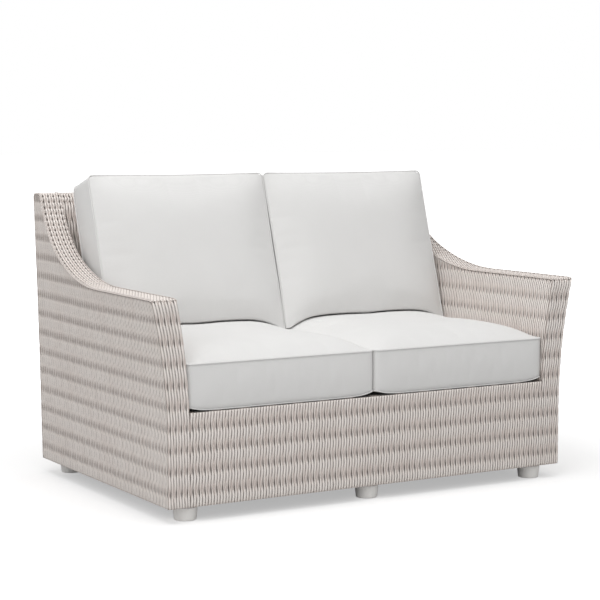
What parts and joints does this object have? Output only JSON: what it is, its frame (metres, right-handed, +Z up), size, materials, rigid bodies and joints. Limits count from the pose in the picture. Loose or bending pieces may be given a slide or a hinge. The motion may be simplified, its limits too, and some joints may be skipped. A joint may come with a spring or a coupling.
{
  "type": "patio loveseat",
  "caption": "Woven resin outdoor loveseat with flared scoop arms over a tube frame, with loose crowned box cushions and levelling feet.",
  "frame": {"origin": "on the floor, under the centre of the loveseat's bounding box", "axes": "+X along the seat, from the left end to the right end as seen from the front; +Y from the front to the back; +Z up"},
  "size_m": [1.4094, 0.9172, 0.921],
  "materials": {
    "wicker": "flat resin strands woven in light oyster and taupe",
    "frame_tube": "powder-coated aluminium tube",
    "steel_hardware": "zinc-plated weld nut",
    "webbing": "elastic polypropylene webbing",
    "glide_nylon": "moulded nylon",
    "cushion_fabric": "plain-woven solution-dyed fabric",
    "cushion_filling": "foam wrapped in fibre",
    "zip_tape": "coil zip on woven tape",
    "zip_slider": "enamelled die casting"
  },
  "bodies": {
    "frame": {"arm_cap_left": "wicker", "arm_cap_right": "wicker", "arm_front_skin_left": "wicker", "arm_front_skin_right": "wicker", "arm_rail_left": "frame_tube", "arm_rail_right": "frame_tube", "back_cross_rail": "frame_tube", "back_stile_centre": "frame_tube", "back_stile_left": "frame_tube", "back_stile_right": "frame_tube", "back_top_cap": "wicker", "back_top_rail": "frame_tube", "base_front_rail": "frame_tube", "base_rear_rail": "frame_tube", "base_side_rail_left": "frame_tube", "base_side_rail_right": "frame_tube", "foot_plates": "frame_tube", "foot_weld_nuts": "steel_hardware", "front_apron_skin": "wicker", "front_centre_post": "frame_tube", "front_post_left": "frame_tube", "front_post_right": "frame_tube", "inner_arm_skin_left": "wicker", "inner_arm_skin_right": "wicker", "inner_back_skin": "wicker", "outer_back_skin": "wicker", "outer_side_skin_left": "wicker", "outer_side_skin_right": "wicker", "rear_centre_post": "frame_tube", "rear_post_left": "frame_tube", "rear_post_right": "frame_tube", "seat_centre_bearer": "frame_tube", "seat_front_rail": "frame_tube", "seat_rear_rail": "frame_tube", "seat_side_rail_left": "frame_tube", "seat_side_rail_right": "frame_tube", "webbing_front_to_rear": "webbing", "webbing_side_to_side": "webbing"},
    "seat_cushion_left": {"seat_cushion_cover_left": "cushion_fabric", "seat_cushion_filling_left": "cushion_filling", "seat_cushion_zip_left": "zip_tape"},
    "seat_zip_slider_left": {"seat_cushion_zip_slider_left": "zip_slider"},
    "seat_cushion_right": {"seat_cushion_cover_right": "cushion_fabric", "seat_cushion_filling_right": "cushion_filling", "seat_cushion_zip_right": "zip_tape"},
    "seat_zip_slider_right": {"seat_cushion_zip_slider_right": "zip_slider"},
    "back_cushion_left": {"back_cushion_cover_left": "cushion_fabric", "back_cushion_filling_left": "cushion_filling", "back_cushion_zip_left": "zip_tape"},
    "back_zip_slider_left": {"back_cushion_zip_slider_left": "zip_slider"},
    "back_cushion_right": {"back_cushion_cover_right": "cushion_fabric", "back_cushion_filling_right": "cushion_filling", "back_cushion_zip_right": "zip_tape"},
    "back_zip_slider_right": {"back_cushion_zip_slider_right": "zip_slider"},
    "glide_front_centre": {"glide_front_centre": "glide_nylon"},
    "glide_front_left": {"glide_front_left": "glide_nylon"},
    "glide_front_right": {"glide_front_right": "glide_nylon"},
    "glide_rear_centre": {"glide_rear_centre": "glide_nylon"},
    "glide_rear_left": {"glide_rear_left": "glide_nylon"},
    "glide_rear_right": {"glide_rear_right": "glide_nylon"}
  },
  "joints": [
    {"name": "seat_cushion_left_slide", "type": "slide", "parent": "frame", "child": "seat_cushion_left", "axis": [0, -1, 0], "range_m": [0, 0.6]},
    {"name": "back_cushion_left_lift", "type": "slide", "parent": "frame", "child": "back_cushion_left", "axis": [0, 0.299, 0.9542], "range_m": [0, 0.45]},
    {"name": "seat_cushion_right_slide", "type": "slide", "parent": "frame", "child": "seat_cushion_right", "axis": [0, -1, 0], "range_m": [0, 0.6]},
    {"name": "back_cushion_right_lift", "type": "slide", "parent": "frame", "child": "back_cushion_right", "axis": [0, 0.299, 0.9542], "range_m": [0, 0.45]},
    {"name": "seat_zip_left_open", "type": "slide", "parent": "seat_cushion_left", "child": "seat_zip_slider_left", "axis": [1, 0, 0], "range_m": [0, 0.43]},
    {"name": "seat_zip_right_open", "type": "slide", "parent": "seat_cushion_right", "child": "seat_zip_slider_right", "axis": [-1, 0, 0], "range_m": [0, 0.43]},
    {"name": "back_zip_left_open", "type": "slide", "parent": "back_cushion_left", "child": "back_zip_slider_left", "axis": [1, 0, 0], "range_m": [0, 0.43]},
    {"name": "back_zip_right_open", "type": "slide", "parent": "back_cushion_right", "child": "back_zip_slider_right", "axis": [-1, 0, 0], "range_m": [0, 0.43]},
    {"name": "glide_front_centre_level", "type": "slide", "parent": "frame", "child": "glide_front_centre", "axis": [0, 0, -1], "range_m": [0, 0.012]},
    {"name": "glide_front_left_level", "type": "slide", "parent": "frame", "child": "glide_front_left", "axis": [0, 0, -1], "range_m": [0, 0.012]},
    {"name": "glide_front_right_level", "type": "slide", "parent": "frame", "child": "glide_front_right", "axis": [0, 0, -1], "range_m": [0, 0.012]},
    {"name": "glide_rear_centre_level", "type": "slide", "parent": "frame", "child": "glide_rear_centre", "axis": [0, 0, -1], "range_m": [0, 0.012]},
    {"name": "glide_rear_left_level", "type": "slide", "parent": "frame", "child": "glide_rear_left", "axis": [0, 0, -1], "range_m": [0, 0.012]},
    {"name": "glide_rear_right_level", "type": "slide", "parent": "frame", "child": "glide_rear_right", "axis": [0, 0, -1], "range_m": [0, 0.012]}
  ]
}
